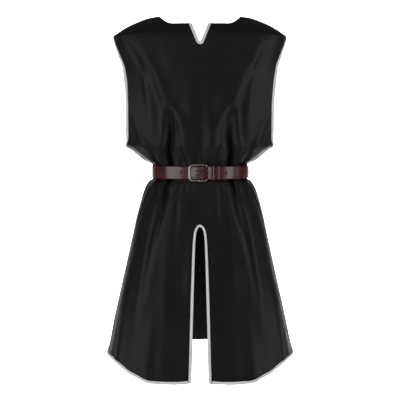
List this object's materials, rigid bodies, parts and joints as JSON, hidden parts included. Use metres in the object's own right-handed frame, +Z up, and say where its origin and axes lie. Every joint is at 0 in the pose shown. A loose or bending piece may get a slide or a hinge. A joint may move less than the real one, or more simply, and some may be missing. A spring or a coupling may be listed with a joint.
{
  "type": "sleeveless leather tunic",
  "caption": "Sleeveless knee-length tunic of thin leather with a notched neckline, deep armholes, a slit front skirt, braid-trimmed edges and a buckled belt, filled out as worn.",
  "frame": {"origin": "midway between the neck ends of the two shoulder seams, at shoulder height, where the wearer holds the garment up", "axes": "+Z up along the garment, -Y to its front, +X to the right of someone who looks at the front"},
  "size_m": [0.5644, 0.4175, 1.0522],
  "materials": {
    "leather": "soft black satin, fine grain",
    "braid": "silver-white gimp braid, slight sheen",
    "belt_leather": "glossy dark burgundy brown",
    "buckle_metal": "polished nickel"
  },
  "bodies": {
    "root": {"front_panel": "leather", "back_panel": "leather", "armhole_braid_left": "braid", "armhole_braid_right": "braid", "neck_notch_braid": "braid", "slit_braid": "braid", "hem_braid": "braid", "belt_strap": "belt_leather", "belt_keeper_1": "belt_leather", "belt_keeper_2": "belt_leather", "buckle_frame": "buckle_metal", "buckle_prong": "buckle_metal"}
  },
  "joints": []
}
